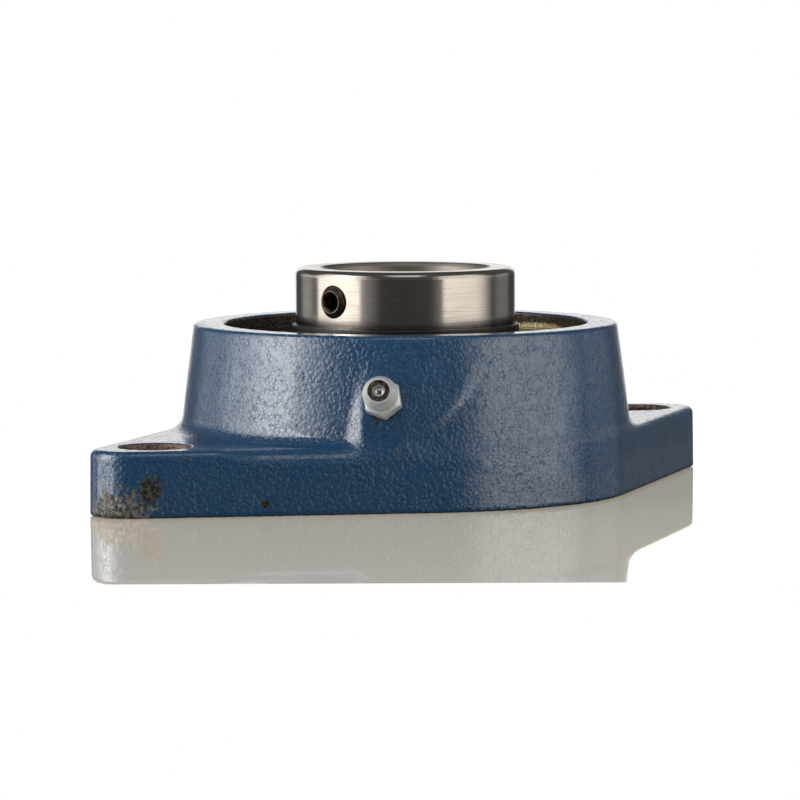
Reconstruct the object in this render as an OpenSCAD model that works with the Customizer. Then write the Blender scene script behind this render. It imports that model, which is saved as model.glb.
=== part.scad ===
// Two-bolt flange bearing: an oval flange housing of painted cast iron with a self-aligning insert bearing.
// All sizes are millimetres. The shaft's axis is Z, the mounting face is z = 0 and the bolts lie along X.

/* [Flange] */
// Overall length of the flange
flange_length = 141.5; // [137:0.5:150]
// Width of the flange across its middle
flange_width = 83; // [81:0.5:88]
// Radius of the flange's two ends, seen from above
flange_end_radius = 7.3; // [6.5:0.1:9]
// Thickness of the flange
flange_thickness = 11.7; // [10.5:0.1:13]
// Rounding of the flange's upper edges
flange_edge_radius = 1.3; // [1:0.1:3]
// Draft of the flange's side walls, in degrees
flange_draft = 0.6; // [0.3:0.1:2]
// Distance of each bolt hole's centre from the flange's end
bolt_inset = 12.5; // [11.2:0.1:14.5]
// Diameter of each bolt hole
bolt_hole_diameter = 12.5; // [9:0.5:13.5]

/* [Hub] */
// Height of the hub's rim above the mounting face
hub_height = 31; // [30:0.1:33]
// Outside diameter of the hub at its rim
rim_diameter = 77.7; // [75:0.1:80]
// Rounding of the rim's outer edge
rim_edge_radius = 0.8; // [0.5:0.1:2]
// Hollow where the hub meets the flange
hub_fillet_radius = 3; // [2:0.1:6]
// Gap between the outer ring and the opening in front of it
opening_clearance = 2.25; // [1:0.05:3]
// Bevel of the opening's edge
opening_bevel = 0.5; // [0.2:0.1:1]

/* [Seat] */
// Height of the seat's centre above the mounting face
seat_height = 18.9; // [18.2:0.1:19.8]
// Gap between the outer ring and its spherical seat
seat_clearance = 0.05; // [0.03:0.01:0.1]
// How far the seat reaches past each face of the outer ring
seat_overlap = 0.2; // [0.1:0.1:1]
// Gap between the outer ring and the recess in the mounting face
recess_clearance = 1; // [0.5:0.1:2.5]
// Depth of the recess in the mounting face
recess_depth = 7.5; // [5:0.5:8.5]
// Gap on each side of the outer ring in the two loading slots
slot_clearance = 0.3; // [0.1:0.1:0.8]
// Width of the grease groove in the seat
groove_width = 5.5; // [5:0.1:6]
// Depth of the grease groove in the seat
groove_depth = 1; // [0.5:0.1:1.5]
// How far the grease groove lies behind the seat's centre
groove_offset = 2; // [1.5:0.1:2.4]

/* [Rings] */
// Bore for the shaft
bore_diameter = 30; // [28:0.5:31]
// Outside diameter of the inner ring
inner_ring_diameter = 40.3; // [39:0.1:41]
// Length of the inner ring
inner_ring_length = 38.1; // [37.7:0.1:42]
// Reach of the inner ring behind the seat's centre
inner_ring_rear = 15.9; // [14.5:0.1:16.3]
// Rounding of the inner ring's outer edges
inner_ring_edge = 1.3; // [0.5:0.1:1.5]
// Bevel at both ends of the bore
bore_bevel = 0.7; // [0.3:0.1:1.2]
// Diameter of the outer ring's spherical outside
outer_ring_diameter = 62; // [61:0.1:63]
// Width of the outer ring
outer_ring_width = 18; // [17.4:0.1:18.8]
// Wall of the outer ring round each shield, at the ring's face
ring_face_wall = 2.1; // [1.6:0.1:2.6]
// Diameter of the outer ring's two grease holes
grease_hole_diameter = 2; // [1.2:0.1:2.2]

/* [Balls and cage] */
// Diameter of a ball
ball_diameter = 9.525; // [9:0.025:9.8]
// Gap between a ball and each race
race_clearance = 0.03; // [0.02:0.01:0.05]
// Radius of the races as a multiple of a ball's radius
race_conformity = 1.04; // [1.02:0.01:1.08]
// Thickness of the cage's pressed sheet
cage_sheet = 0.9; // [0.6:0.05:1]
// Gap between a ball and its pocket
pocket_clearance = 0.15; // [0.1:0.05:0.25]
// Width of the cage's ribbon
cage_width = 3; // [2.8:0.1:4]
// Diameter of a cage rivet
rivet_diameter = 1.6; // [1.2:0.1:1.8]
// Diameter of a rivet's head
rivet_head_diameter = 2.6; // [2.2:0.1:2.8]
// Height of a rivet's head
rivet_head_height = 0.45; // [0.3:0.05:0.6]

/* [Seals] */
// Width of the step that carries a shield in the outer ring
shield_step = 1.4; // [1:0.1:1.6]
// Depth of that step from the ring's face
shield_depth = 2.1; // [1.9:0.1:2.3]
// Thickness of a shield
shield_sheet = 0.6; // [0.4:0.05:0.7]
// Width of the rubber seal between the shield and the inner ring
lip_width = 1.4; // [1:0.1:1.8]
// How far the rubber seal reaches out of the shield's inner face
lip_reach = 1.2; // [1:0.1:1.4]
// Thickness of the seal's lip
lip_thickness = 0.45; // [0.3:0.05:0.6]
// Gap between the lip and the inner ring
lip_clearance = 0.1; // [0.05:0.05:0.2]
// Thickness of a flinger
flinger_sheet = 0.68; // [0.5:0.02:0.8]
// Gap between the front flinger's collar and the set screws
collar_clearance = 2.3; // [0.8:0.1:2.6]
// Height of the rear flinger's collar
rear_collar_height = 2.4; // [1.5:0.1:4]
// Gap between a flinger and the lip behind it
flinger_clearance = 0.4; // [0.3:0.05:0.5]
// Gap between a flinger's edge and the shield's rim
flinger_edge_clearance = 0.6; // [0.4:0.1:1]

/* [Set screws] */
// Thread diameter of a set screw
screw_diameter = 6; // [5:0.5:6]
// Length of a set screw
screw_length = 5.7; // [5:0.1:5.8]
// How far a set screw stands out of the ring
screw_stand_out = 0.8; // [0.5:0.1:2]
// Distance of the screws from the front end of the ring
screw_inset = 5.5; // [4.5:0.1:5.6]
// Direction of the first screw, in degrees from +X
screw_direction = 189; // [0:1:359]
// Angle between the two screws
screw_spread = 120; // [60:1:180]
// Bevel of the screw's outer end
screw_bevel = 0.9; // [0.3:0.1:1]
// Bevel of the screw's tip
screw_tip_bevel = 1.2; // [0.8:0.1:1.4]
// Size of the screw's socket across its flats
socket_flats = 3; // [2:0.5:3]
// Depth of the screw's socket
socket_depth = 3; // [2:0.1:3.2]

/* [Anti-rotation pin] */
// Diameter of the pin
pin_diameter = 3; // [2:0.1:3.5]
// How deep the pin sits in the outer ring
pin_depth = 1.7; // [1:0.1:1.9]
// How far the pin stands out of the outer ring
pin_stand_out = 1.5; // [1:0.1:2]
// Bevel of the pin's end
pin_bevel = 0.25; // [0.1:0.05:0.4]
// Gap beside the pin in its slot in the housing
pin_slot_clearance = 0.06; // [0.04:0.01:0.2]
// Gap beyond the pin's end in its slot
pin_end_clearance = 0.5; // [0.3:0.1:0.8]
// Direction of the pin, in degrees from +X
pin_direction = 90; // [90:180:270]

/* [Grease nipple] */
// Direction of the nipple, in degrees from +X
nipple_direction = 223.8; // [205:0.1:235]
// Rise of the nipple's axis above the horizontal, in degrees
nipple_tilt = 17; // [12:1:18]
// Turn of the tightened nipple about its own axis, in degrees
nipple_turn = 10; // [0:1:59]
// How far the nipple's flat pad reaches past its hexagon
pad_margin = 0.1; // [0:0.1:1]
// Slope of the pad's two flanks, in degrees from the nipple's axis
pad_flank = 50; // [35:1:60]
// Thread diameter of the nipple
nipple_thread = 6; // [5:0.1:6]
// Length of the thread in the hub
nipple_thread_length = 6; // [5:0.1:6.5]
// Diameter of the grease passage behind the nipple
nipple_passage = 3; // [2:0.1:3.5]
// Size of the nipple's hexagon across its flats
nipple_flats = 6.3; // [6.2:0.1:7.5]
// Height of the hexagon
nipple_hex_height = 2.8; // [2:0.1:4]
// Bevel of the hexagon's corners
nipple_hex_bevel = 0.7; // [0.4:0.1:0.8]
// Diameter of the nipple's neck
nipple_neck_diameter = 4.6; // [4.4:0.1:5]
// Diameter of the nipple's head
nipple_head_diameter = 6.2; // [5.8:0.1:6.6]
// Diameter of the flat face of the head
nipple_face_diameter = 4.3; // [4:0.1:4.6]
// Height of the neck and head above the hexagon
nipple_head_height = 5.2; // [4.8:0.1:6]
// Height of the head's taper
nipple_taper_height = 2.2; // [1.8:0.1:2.4]
// Height of the band round the head, below its taper
nipple_band_height = 0.6; // [0.3:0.1:0.8]
// Diameter of the check ball
check_ball_diameter = 2.6; // [2.4:0.1:2.8]
// Diameter of the mouth in the head's face
mouth_diameter = 1.9; // [1.5:0.1:2]
// Depth of the mouth
mouth_depth = 0.85; // [0.6:0.05:1]
// Gap round the check ball and its spring
check_clearance = 0.09; // [0.05:0.01:0.15]
// Wire diameter of the check spring
spring_wire = 0.35; // [0.25:0.05:0.4]

/* [Fits] */
// Gap all round a piece that is pressed or screwed into another
fit_gap = 0.03; // [0.02:0.01:0.05]

/* [Hidden] */
$fn = 96;
ball_count = 9;
BALLS = [for (i = [1 : ball_count]) str("ball_", i)];

// How far a cutting solid runs past the face that it leaves
past = 1;

// Flange outline: a middle circle, two end circles and the four lines that touch them
middle_radius = flange_width / 2;
end_x = flange_length / 2 - flange_end_radius;
bolt_spacing = flange_length - 2 * bolt_inset;
side_angle = acos((middle_radius - flange_end_radius) / end_x);
side_length = end_x * sin(side_angle);
// Depth of the rounded edge's section, and the angle that the round end runs on before it is cut at mid-width
edge_depth = (flange_edge_radius + flange_end_radius) / 2;
end_overrun = 5;

// Hub: its wall rises from the flange's own edge at mid-length
rim_radius = rim_diameter / 2;
base_radius = middle_radius - flange_thickness * tan(flange_draft);
hub_rise = hub_height - flange_thickness;
hub_taper = atan((base_radius - rim_radius) / hub_rise);

// Seat
seat_radius = outer_ring_diameter / 2 + seat_clearance;
seat_reach = outer_ring_width / 2 + seat_overlap;
opening_diameter = outer_ring_diameter + 2 * opening_clearance;
recess_diameter = outer_ring_diameter + 2 * recess_clearance;
groove_z = seat_height - groove_offset;

// Rings: the shields and the outer shoulder lie inside the outer ring's face, and the balls midway
ring_face = outer_ring_width / 2;
face_radius = sqrt(pow(outer_ring_diameter / 2, 2) - pow(ring_face, 2));
shield_radius = face_radius - ring_face_wall;
inner_shoulder = inner_ring_diameter / 2;
outer_shoulder = shield_radius - shield_step;
pitch_radius = (inner_shoulder + outer_shoulder) / 2;
ball_radius = ball_diameter / 2;
race_radius = ball_radius * race_conformity;
inner_race_centre = pitch_radius - ball_radius - race_clearance + race_radius;
outer_race_centre = pitch_radius + ball_radius + race_clearance - race_radius;

// Seals, measured from the seat's centre outward along the shaft
shield_z = ring_face - shield_depth;
shield_inner_radius = inner_shoulder + lip_width;
flinger_z = shield_z + lip_reach + flinger_clearance;
flinger_radius = shield_radius - shield_sheet - flinger_edge_clearance;

// Grease holes open into the edge of the grease groove
grease_hole_offset = groove_offset + groove_width / 2;

// Set screws
screw_z = seat_height - inner_ring_rear + inner_ring_length - screw_inset;
screw_tip = inner_shoulder + screw_stand_out - screw_length;
front_collar_height = screw_z - seat_height - screw_diameter / 2 - collar_clearance - flinger_z;

// Nipple: its axis aims at the grease groove and leaves the hub where it crosses the tapered wall
wall_slope = tan(hub_taper);
nipple_slope = tan(nipple_tilt);
nipple_radius = (base_radius + wall_slope * (flange_thickness - groove_z + seat_radius * nipple_slope))
    / (1 + wall_slope * nipple_slope);
nipple_z = groove_z + (nipple_radius - seat_radius) * nipple_slope;
nipple_hex_radius = nipple_flats / sqrt(3);

// Pad: square to the nipple's axis, just proud of the wall at the hexagon's upper corner
pad_slope = abs(tan(nipple_tilt - hub_taper));
pad_rise = nipple_hex_radius * pad_slope + fit_gap;
pad_half_width = nipple_hex_radius + pad_margin;
pad_reach = 2 * nipple_hex_radius;
pad_drop = (nipple_z - flange_thickness + 2 * flange_edge_radius) / cos(nipple_tilt);
pad_depth = pad_drop * pad_slope + past;

// Nipple, measured along its axis from the wall
nipple_hex_top = pad_rise + nipple_hex_height;
nipple_top = nipple_hex_top + nipple_head_height;
check_bore_radius = check_ball_diameter / 2 + check_clearance;
mouth_floor = nipple_top - mouth_depth;
check_ball_z = mouth_floor - sqrt(pow(check_ball_diameter / 2 + fit_gap, 2) - pow(mouth_diameter / 2, 2));
spring_stop = spring_wire * 2;
spring_floor = spring_stop - nipple_thread_length;
spring_top = check_ball_z - check_ball_diameter / 2 - fit_gap;
spring_radius = check_bore_radius - spring_wire / 2 - check_clearance;
spring_turns = 7;
spring_sides = 6;
spring_steps = 12;

paint_blue = "#1f4b7c";
ground_steel = "#b9b4a8";
bright_steel = "#c9ccce";
dark_steel = "#2b2b2c";
plated_steel = "#b8b7ae";
yellow_steel = "#b5994f";
cage_steel = "#9d9f9f";
black_rubber = "#161616";

// Section of the flange's rounded edge. It runs from depth inside the wall's foot out to the foot at x = 0.
module edge_section(depth) {
    r = flange_edge_radius;
    slope = [cos(flange_draft), sin(flange_draft)];
    centre = [-(r + (flange_thickness - r) * slope[1]) / slope[0], flange_thickness - r];
    polygon([[-depth, 0], [0, 0], centre + r * slope, centre + [0, r], [-depth, flange_thickness]]);
    translate(centre) circle(r);
}

// Section of the flange's bare wall, with the same draft, up to a height of its own
module wall_section(depth, height) {
    polygon([[-depth, 0], [0, 0], [-height * tan(flange_draft), height], [-depth, height]]);
}

// A straight side of the flange in the +X +Y quarter. The child is its section.
module flange_side() {
    translate([middle_radius, 0, 0]) rotate([90, 0, 0]) linear_extrude(side_length) children();
}

// One quarter of the flange, towards +X and +Y: a straight side, half of the round end and the core
module flange_quarter() {
    rim = flange_end_radius / 2;
    side = [cos(side_angle), sin(side_angle)];
    intersection() {
        union() {
            rotate([0, 0, side_angle]) {
                flange_side() edge_section(edge_depth);
                translate([middle_radius - flange_end_radius, -side_length, 0]) mirror([0, 1, 0])
                    rotate_extrude(angle = side_angle + end_overrun)
                    translate([flange_end_radius, 0]) edge_section(edge_depth);
            }
            linear_extrude(flange_thickness) polygon([[0, 0], [end_x + rim, 0], [end_x, 0] + rim * side,
                (middle_radius - rim) * side]);
        }
        translate([0, 0, -past]) cube([flange_length, flange_width, flange_thickness + 2 * past]);
    }
}

// Copies its children into all four quarters
module four_quarters() {
    for (x = [0, 1]) mirror([x, 0, 0]) for (y = [0, 1]) mirror([0, y, 0]) children();
}

// Middle of the casting: the flange's wall at mid-length and the tapered hub with its rounded rim
module hub_blank() {
    r = rim_edge_radius;
    centre = [rim_radius - r * (1 - sin(hub_taper)) / cos(hub_taper), hub_height - r];
    rotate_extrude() {
        polygon([[0, 0], [middle_radius, 0], [base_radius, flange_thickness],
            centre + r * [cos(hub_taper), sin(hub_taper)], centre + [0, r], [0, hub_height]]);
        translate(centre) circle(r);
    }
}

// Straight walls of the flange with their draft, carried on up to a height
module flange_walls(height) {
    four_quarters() {
        rotate([0, 0, side_angle]) flange_side() wall_section(edge_depth, height);
        linear_extrude(height) polygon([[0, 0], [end_x, 0],
            (middle_radius - flange_end_radius / 2) * [cos(side_angle), sin(side_angle)]]);
    }
}

// Hollow fillet between the hub and the flange's top, cut off where the flange's wall cuts it
module hub_fillet() {
    r = hub_fillet_radius;
    centre = [base_radius + r * (1 - sin(hub_taper)) / cos(hub_taper), flange_thickness + r];
    touch = centre - r * [cos(hub_taper), sin(hub_taper)];
    foot = flange_thickness - flange_edge_radius;
    height = flange_thickness + r;
    intersection() {
        rotate_extrude() difference() {
            polygon([[touch[0] - r, foot], [centre[0], foot], [centre[0], flange_thickness],
                touch, [touch[0] - r, touch[1]]]);
            translate(centre) circle(r);
        }
        flange_walls(height);
    }
}

// Sloping pad that the nipple stands on. It runs down into the flange and ends at the flange's wall.
module nipple_pad() {
    foot_half_width = pad_half_width + (pad_rise + pad_depth) * tan(pad_flank);
    intersection() {
        on_nipple_axis() translate([-pad_reach, 0, 0]) rotate([0, 90, 0])
            linear_extrude(pad_reach + pad_drop) polygon([[-pad_rise, -pad_half_width],
                [-pad_rise, pad_half_width], [pad_depth, foot_half_width], [pad_depth, -foot_half_width]]);
        flange_walls(hub_height);
    }
}

// The casting before machining
module casting() {
    hub_blank();
    hub_fillet();
    nipple_pad();
    four_quarters() flange_quarter();
}

// Places its children on the nipple's axis, with z = 0 where the axis leaves the hub's wall
module on_nipple_axis() {
    rotate([0, 0, nipple_direction]) translate([nipple_radius, 0, nipple_z])
        rotate([0, 90 - nipple_tilt, 0]) children();
}

// Places its children at the seat's centre
module at_centre() {
    translate([0, 0, seat_height]) children();
}

// Turns its children to face along a direction in the plane of the mounting face
module facing(direction) {
    rotate([0, 0, direction]) rotate([0, 90, 0]) children();
}

module housing() {
    front_seat = seat_height + seat_reach;
    pin_slot_width = pin_diameter + 2 * pin_slot_clearance;
    pin_slot_radius = outer_ring_diameter / 2 + pin_stand_out + pin_end_clearance;
    pin_slot_top = seat_height + pin_diameter;
    color(paint_blue) difference() {
        casting();
        for (end = [-1, 1]) translate([end * bolt_spacing / 2, 0, -past])
            cylinder(d = bolt_hole_diameter, h = flange_thickness + 2 * past);
        translate([0, 0, front_seat]) cylinder(d = opening_diameter, h = hub_height);
        translate([0, 0, hub_height - opening_bevel]) cylinder(d1 = opening_diameter,
            d2 = opening_diameter + 4 * opening_bevel, h = 2 * opening_bevel);
        intersection() {
            at_centre() sphere(seat_radius);
            translate([0, 0, -past]) cylinder(r = seat_radius + past, h = front_seat + 2 * past);
        }
        translate([0, 0, -past]) cylinder(d = recess_diameter, h = recess_depth + past);
        intersection() {
            translate([0, 0, -past]) cylinder(r = seat_radius, h = seat_height + past);
            translate([-flange_length / 2, -outer_ring_width / 2 - slot_clearance, -past])
                cube([flange_length, outer_ring_width + 2 * slot_clearance, seat_height + past]);
        }
        translate([0, 0, groove_z - groove_width / 2])
            cylinder(r = seat_radius + groove_depth, h = groove_width);
        rotate([0, 0, pin_direction]) translate([0, -pin_slot_width / 2, -past])
            cube([pin_slot_radius, pin_slot_width, pin_slot_top + past]);
        on_nipple_axis() {
            translate([0, 0, -nipple_thread_length - past]) cylinder(d = nipple_thread,
                h = nipple_thread_length + 2 * past);
            translate([0, 0, seat_radius - nipple_radius - nipple_thread]) cylinder(d = nipple_passage,
                h = nipple_radius - seat_radius + nipple_thread);
        }
    }
}

module grease_nipple_body() {
    hex_top_radius = nipple_hex_radius - nipple_hex_bevel;
    neck_radius = nipple_neck_diameter / 2;
    head_radius = nipple_head_diameter / 2;
    head_foot = nipple_top - nipple_taper_height - nipple_band_height;
    flare = head_radius - neck_radius;
    color(plated_steel) on_nipple_axis() difference() {
        union() {
            translate([0, 0, -nipple_thread_length]) cylinder(d = nipple_thread - 2 * fit_gap,
                h = nipple_thread_length + pad_rise + fit_gap);
            translate([0, 0, pad_rise]) intersection() {
                rotate([0, 0, nipple_turn]) cylinder(r = nipple_hex_radius, h = nipple_hex_height, $fn = 6);
                cylinder(r1 = hex_top_radius + nipple_hex_height, r2 = hex_top_radius, h = nipple_hex_height);
            }
            rotate_extrude() polygon([[0, pad_rise + fit_gap],
                [neck_radius, pad_rise + fit_gap], [neck_radius, head_foot - flare],
                [head_radius, head_foot], [head_radius, head_foot + nipple_band_height],
                [nipple_face_diameter / 2, nipple_top], [0, nipple_top]]);
        }
        translate([0, 0, spring_floor]) cylinder(r = check_bore_radius, h = mouth_floor - spring_floor);
        translate([0, 0, -nipple_thread_length - past]) cylinder(d = mouth_diameter,
            h = nipple_thread_length + nipple_top + 2 * past);
    }
}

module nipple_check_ball() {
    color(bright_steel) on_nipple_axis() translate([0, 0, check_ball_z]) sphere(d = check_ball_diameter);
}

// Coil spring: one ring of points for each step of the wire's centre line
module nipple_spring() {
    low = spring_floor + spring_wire / 2 + fit_gap;
    rise = spring_top - spring_wire / 2 - low;
    last = spring_turns * spring_steps;
    points = [for (i = [0 : last]) let (turn = 360 * i / spring_steps) for (k = [0 : spring_sides - 1])
        let (reach = spring_radius + spring_wire / 2 * cos(360 * k / spring_sides))
        [reach * cos(turn), reach * sin(turn),
            low + rise * i / last + spring_wire / 2 * sin(360 * k / spring_sides)]];
    sides = [for (i = [0 : last - 1]) for (k = [0 : spring_sides - 1])
        let (a = i * spring_sides + k, b = i * spring_sides + (k + 1) % spring_sides)
        each [[a, b, b + spring_sides], [a, b + spring_sides, a + spring_sides]]];
    start = [for (k = [spring_sides - 1 : -1 : 0]) k];
    finish = [for (k = [0 : spring_sides - 1]) last * spring_sides + k];
    color(bright_steel) on_nipple_axis() polyhedron(points, concat(sides, [start, finish]));
}

module anti_rotation_pin() {
    foot = outer_ring_diameter / 2 - pin_depth + fit_gap;
    length = pin_depth + pin_stand_out - fit_gap;
    color(bright_steel) at_centre() facing(pin_direction) translate([0, 0, foot]) {
        cylinder(d = pin_diameter, h = length - pin_bevel);
        translate([0, 0, length - pin_bevel]) cylinder(d1 = pin_diameter,
            d2 = pin_diameter - 2 * pin_bevel, h = pin_bevel);
    }
}

module outer_ring() {
    color(ground_steel) at_centre() difference() {
        rotate_extrude() difference() {
            intersection() {
                circle(d = outer_ring_diameter);
                translate([outer_shoulder, -ring_face]) square([outer_ring_diameter, outer_ring_width]);
            }
            translate([outer_race_centre, 0]) circle(race_radius);
            for (side = [0, 1]) mirror([0, side]) translate([outer_shoulder - past, shield_z])
                square([shield_step + past, shield_depth + past]);
        }
        for (side = [0, 180]) translate([0, 0, -grease_hole_offset]) facing(nipple_direction + side)
            cylinder(d = grease_hole_diameter, h = outer_ring_diameter);
        facing(pin_direction) translate([0, 0, outer_ring_diameter / 2 - pin_depth])
            cylinder(d = pin_diameter + 2 * fit_gap, h = pin_depth + past);
    }
}

// Pressed shield: a flat web with a rim turned outward against the outer ring
module seal_shield() {
    color(yellow_steel) rotate_extrude() {
        translate([shield_inner_radius, shield_z]) square([shield_radius - fit_gap - shield_inner_radius,
            shield_sheet]);
        translate([shield_radius - fit_gap - shield_sheet, shield_z])
            square([shield_sheet, shield_depth - fit_gap]);
    }
}

// Rubber seal bonded to the shield's inner edge, with a lip that leans outward along the inner ring
module seal_lip() {
    lip_radius = inner_shoulder + lip_clearance;
    color(black_rubber) rotate_extrude() polygon([[shield_inner_radius, shield_z],
        [shield_inner_radius, shield_z + shield_sheet], [lip_radius + lip_thickness, shield_z + lip_reach],
        [lip_radius, shield_z + lip_reach], [lip_radius, shield_z + shield_sheet],
        [lip_radius + lip_thickness, shield_z]]);
}

module front_seal_shield() {
    at_centre() seal_shield();
}

module front_seal_lip() {
    at_centre() seal_lip();
}

module rear_seal_shield() {
    at_centre() mirror([0, 0, 1]) seal_shield();
}

module rear_seal_lip() {
    at_centre() mirror([0, 0, 1]) seal_lip();
}

// Thrower plate on the inner ring: a flat disc over the seal and a collar along the ring
module flinger(collar_height) {
    inner = inner_shoulder + fit_gap;
    color(black_rubber) rotate_extrude() {
        translate([inner, flinger_z]) square([flinger_radius - inner, flinger_sheet]);
        translate([inner, flinger_z]) square([flinger_sheet, collar_height]);
    }
}

module front_flinger() {
    at_centre() flinger(front_collar_height);
}

module rear_flinger() {
    at_centre() mirror([0, 0, 1]) flinger(rear_collar_height);
}

module inner_ring() {
    rear = -inner_ring_rear;
    front = inner_ring_length - inner_ring_rear;
    edge = inner_ring_edge;
    bore = bore_diameter / 2;
    color(ground_steel) at_centre() difference() {
        rotate_extrude() difference() {
            union() {
                polygon([[bore + bore_bevel, rear], [inner_shoulder - edge, rear],
                    [inner_shoulder, rear + edge], [inner_shoulder, front - edge],
                    [inner_shoulder - edge, front], [bore + bore_bevel, front],
                    [bore, front - bore_bevel], [bore, rear + bore_bevel]]);
                for (z = [rear + edge, front - edge]) translate([inner_shoulder - edge, z]) circle(edge);
            }
            translate([inner_race_centre, 0]) circle(race_radius);
        }
        for (turn = [0, -screw_spread]) translate([0, 0, screw_z - seat_height])
            facing(screw_direction + turn) cylinder(d = screw_diameter, h = inner_ring_diameter);
    }
}

// Socket set screw along +Z, with a bevelled end, a cupped tip and a hexagon socket
module set_screw() {
    radius = screw_diameter / 2 - fit_gap;
    tip_radius = radius - screw_tip_bevel;
    color(dark_steel) difference() {
        rotate_extrude() polygon([[0, 0], [tip_radius, 0], [radius, screw_tip_bevel],
            [radius, screw_length - screw_bevel], [radius - screw_bevel, screw_length], [0, screw_length]]);
        translate([0, 0, screw_length - socket_depth])
            cylinder(r = socket_flats / sqrt(3), h = socket_depth + past, $fn = 6);
        translate([0, 0, -tip_radius / 2]) cylinder(r1 = tip_radius, r2 = 0, h = tip_radius);
    }
}

module set_screw_a() {
    translate([0, 0, screw_z]) facing(screw_direction) translate([0, 0, screw_tip]) set_screw();
}

module set_screw_b() {
    translate([0, 0, screw_z]) facing(screw_direction - screw_spread) translate([0, 0, screw_tip])
        set_screw();
}

// Turns its children to each place in the ring of balls, or to the places halfway between them
module round_the_pitch(shift = 0) {
    for (i = [1 : ball_count]) rotate([0, 0, 360 * (i - 1 + shift) / ball_count])
        translate([pitch_radius, 0, 0]) children();
}

// One pressed half of the cage: domed pockets round the balls and flat lands between them
module cage_half() {
    inner = pitch_radius - cage_width / 2;
    outer = pitch_radius + cage_width / 2;
    pocket = ball_radius + pocket_clearance;
    color(cage_steel) difference() {
        intersection() {
            union() {
                cylinder(r = outer + past, h = cage_sheet);
                round_the_pitch() sphere(pocket + cage_sheet);
            }
            rotate_extrude() translate([inner, 0]) square([cage_width, pocket + cage_sheet + past]);
        }
        round_the_pitch() sphere(pocket);
        round_the_pitch(0.5) translate([0, 0, -past])
            cylinder(d = rivet_diameter + 2 * fit_gap, h = cage_sheet + 2 * past, $fn = 32);
    }
}

module cage_front_half() {
    at_centre() cage_half();
}

module cage_rear_half() {
    at_centre() mirror([0, 0, 1]) cage_half();
}

module cage_rivets() {
    color(bright_steel) at_centre() round_the_pitch(0.5) {
        translate([0, 0, -cage_sheet]) cylinder(d = rivet_diameter, h = 2 * cage_sheet, $fn = 32);
        for (side = [0, 1]) mirror([0, 0, side]) translate([0, 0, cage_sheet])
            cylinder(d1 = rivet_head_diameter, d2 = rivet_diameter, h = rivet_head_height, $fn = 32);
    }
}

module ball(i) {
    color(bright_steel) at_centre() rotate([0, 0, 360 * (i - 1) / ball_count])
        translate([pitch_radius, 0, 0]) sphere(ball_radius);
}

housing();
grease_nipple_body();
nipple_check_ball();
nipple_spring();
anti_rotation_pin();
outer_ring();
front_seal_shield();
front_seal_lip();
rear_seal_shield();
rear_seal_lip();
inner_ring();
front_flinger();
rear_flinger();
set_screw_a();
set_screw_b();
cage_front_half();
cage_rear_half();
cage_rivets();
for (i = [1 : ball_count]) ball(i);
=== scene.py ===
"""Looks of a two-bolt flange bearing: a painted casting, a ground insert and their small hardware."""

import itertools
import math

import bpy
import numpy as np
from mathutils import Matrix, Vector


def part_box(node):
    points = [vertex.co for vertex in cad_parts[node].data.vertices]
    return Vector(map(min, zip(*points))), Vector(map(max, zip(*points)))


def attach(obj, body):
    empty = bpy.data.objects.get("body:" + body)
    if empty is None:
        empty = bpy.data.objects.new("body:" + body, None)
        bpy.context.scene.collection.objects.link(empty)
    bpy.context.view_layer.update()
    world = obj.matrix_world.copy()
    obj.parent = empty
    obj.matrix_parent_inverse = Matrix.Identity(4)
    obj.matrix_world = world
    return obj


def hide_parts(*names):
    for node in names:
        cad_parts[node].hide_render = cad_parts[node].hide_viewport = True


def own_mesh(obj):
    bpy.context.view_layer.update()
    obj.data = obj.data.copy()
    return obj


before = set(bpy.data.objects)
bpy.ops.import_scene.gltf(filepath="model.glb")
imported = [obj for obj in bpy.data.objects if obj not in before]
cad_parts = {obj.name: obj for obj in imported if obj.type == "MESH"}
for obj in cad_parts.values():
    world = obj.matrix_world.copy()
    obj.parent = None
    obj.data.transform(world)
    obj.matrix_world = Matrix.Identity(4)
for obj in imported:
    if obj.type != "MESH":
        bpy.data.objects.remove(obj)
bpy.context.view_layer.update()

# Sizes are millimetres and the scene is metres
MM = 0.001
CORNERS = np.array(list(itertools.product((0, 1), repeat=3)))

# Casting
housing_low, housing_high = (np.array(corner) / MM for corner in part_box("housing"))
FLANGE_LENGTH = housing_high[0] - housing_low[0]
FLANGE_WIDTH = housing_high[1] - housing_low[1]
HUB_HEIGHT = housing_high[2]
MIDDLE_RADIUS = FLANGE_WIDTH / 2
END_RADIUS = 7.3
END_X = FLANGE_LENGTH / 2 - END_RADIUS
FLANGE_TOP = 11.7
FLANGE_DRAFT = math.radians(0.6)
FLANGE_EDGE = 1.3
RIM_RADIUS = 38.85
RIM_EDGE = 0.8
HUB_FILLET = 2.6
NARROW_FILLET = 1.6
FOOT_EDGE = 0.5
MESH_STEP = 0.64
BASE_RADIUS = MIDDLE_RADIUS - FLANGE_TOP * math.tan(FLANGE_DRAFT)
HUB_TAPER = math.atan((BASE_RADIUS - RIM_RADIUS) / (HUB_HEIGHT - FLANGE_TOP))
BOLT_X = 58.25
BOLT_RADIUS = 6.25

# Machined hollow of the casting
SEAT_Z = 18.9
SEAT_RADIUS = 31.05
OPENING_RADIUS = 33.25
OPENING_FLOOR = 28.1
RECESS_RADIUS = 32.0
RECESS_DEPTH = 7.5
SLOT_HALF_WIDTH = 9.3
GROOVE_RADIUS = SEAT_RADIUS + 1.0
GROOVE_Z = 16.9
GROOVE_HALF_WIDTH = 2.75
PIN_SLOT_HALF_WIDTH = 1.56
PIN_SLOT_RADIUS = 33.0
PIN_SLOT_TOP = 21.9
TOOLED_EDGE = 0.15

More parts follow.
